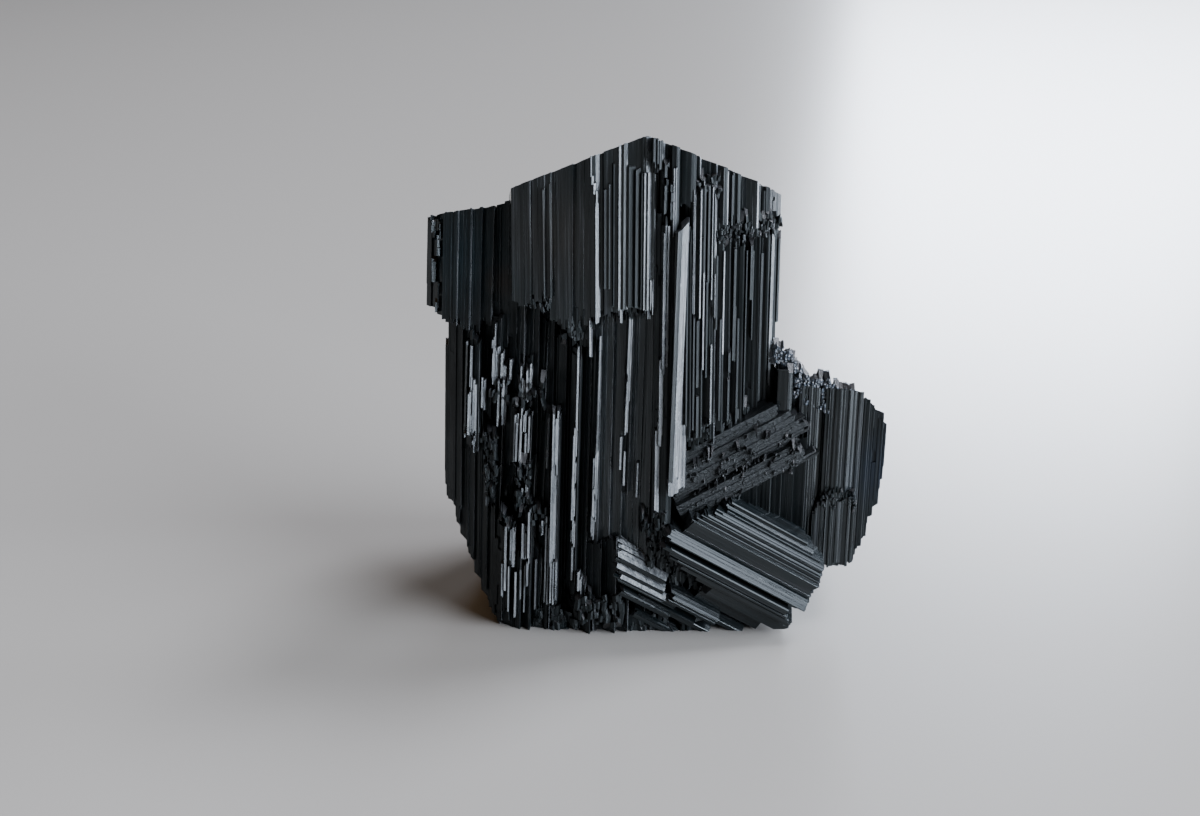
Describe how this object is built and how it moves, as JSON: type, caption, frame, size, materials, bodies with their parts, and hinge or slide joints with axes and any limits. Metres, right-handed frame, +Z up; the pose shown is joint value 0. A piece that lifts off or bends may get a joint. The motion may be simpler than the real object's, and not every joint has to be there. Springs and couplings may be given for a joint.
{
  "type": "tourmaline crystal specimen",
  "caption": "Free-standing hand specimen of black tourmaline: lengthwise grooved crystals grown into one another, the tallest with a low pointed crown, cut flat below to stand on a surface.",
  "frame": {"origin": "middle of the bounding box's bottom, on the flat cut face that the specimen stands on", "axes": "+Z up along the tall crystal's length, -Y towards the broad front with the slab and the two slanting crystals, +X towards the lower crystal at the right"},
  "size_m": [0.0474, 0.0282, 0.05],
  "materials": {
    "black_tourmaline": "glassy black, opaque"
  },
  "bodies": {
    "root": {"tourmaline_cluster": "black_tourmaline"}
  },
  "joints": []
}
